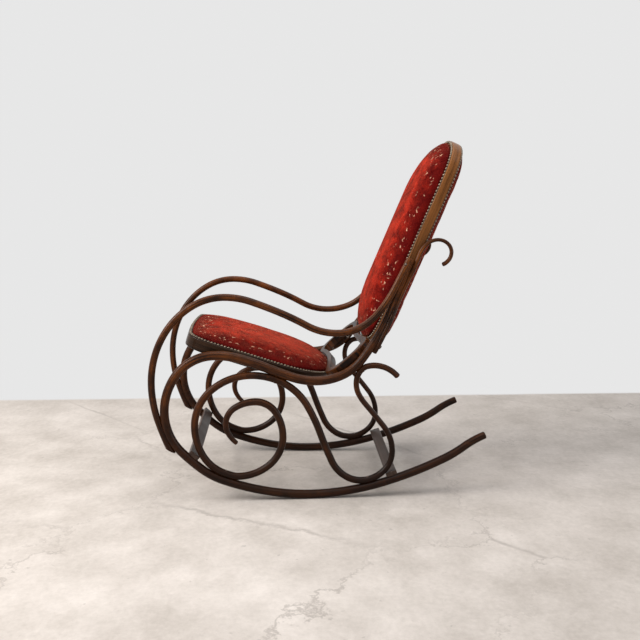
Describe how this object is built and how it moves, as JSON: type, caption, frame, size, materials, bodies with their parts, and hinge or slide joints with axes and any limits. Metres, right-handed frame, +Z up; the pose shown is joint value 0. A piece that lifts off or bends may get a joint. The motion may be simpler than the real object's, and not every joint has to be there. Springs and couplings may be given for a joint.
{
  "type": "bentwood rocking chair",
  "caption": "Bentwood rocking chair with scrolled side frames, rocker tails, looped arms and a padded, nailed seat and tall reclined back.",
  "frame": {"origin": "middle of the chair's bounding footprint, on the floor", "axes": "+X towards the sitter's left side, -Y towards the front of the chair, +Z up"},
  "size_m": [0.528, 1.0252, 1.0855],
  "materials": {
    "walnut_rods": "gloss",
    "honey_rings": "gloss",
    "boards": "satin",
    "velvet": "matte",
    "webbing": "matte",
    "braid": "matte",
    "screws": "satin"
  },
  "bodies": {
    "root": {"side_rod_left": "walnut_rods", "scroll_leg_left": "walnut_rods", "arm_left": "walnut_rods", "back_prop_left": "walnut_rods", "side_rod_right": "walnut_rods", "scroll_leg_right": "walnut_rods", "arm_right": "walnut_rods", "back_prop_right": "walnut_rods", "front_stretcher": "boards", "rear_stretcher": "boards", "rear_hoop": "walnut_rods", "seat_ring": "honey_rings", "back_ring": "honey_rings", "seat_webbing": "webbing", "back_front_webbing": "webbing", "back_rear_webbing": "webbing", "seat_pad": "velvet", "back_front_pad": "velvet", "back_rear_pad": "velvet", "seat_nail_band": "braid", "back_front_nail_band": "braid", "back_rear_nail_band": "braid", "scroll_screws": "screws", "seat_screws": "screws", "hoop_screws": "screws", "back_screws": "screws", "stretcher_screws": "screws", "arm_screws": "screws"}
  },
  "joints": []
}
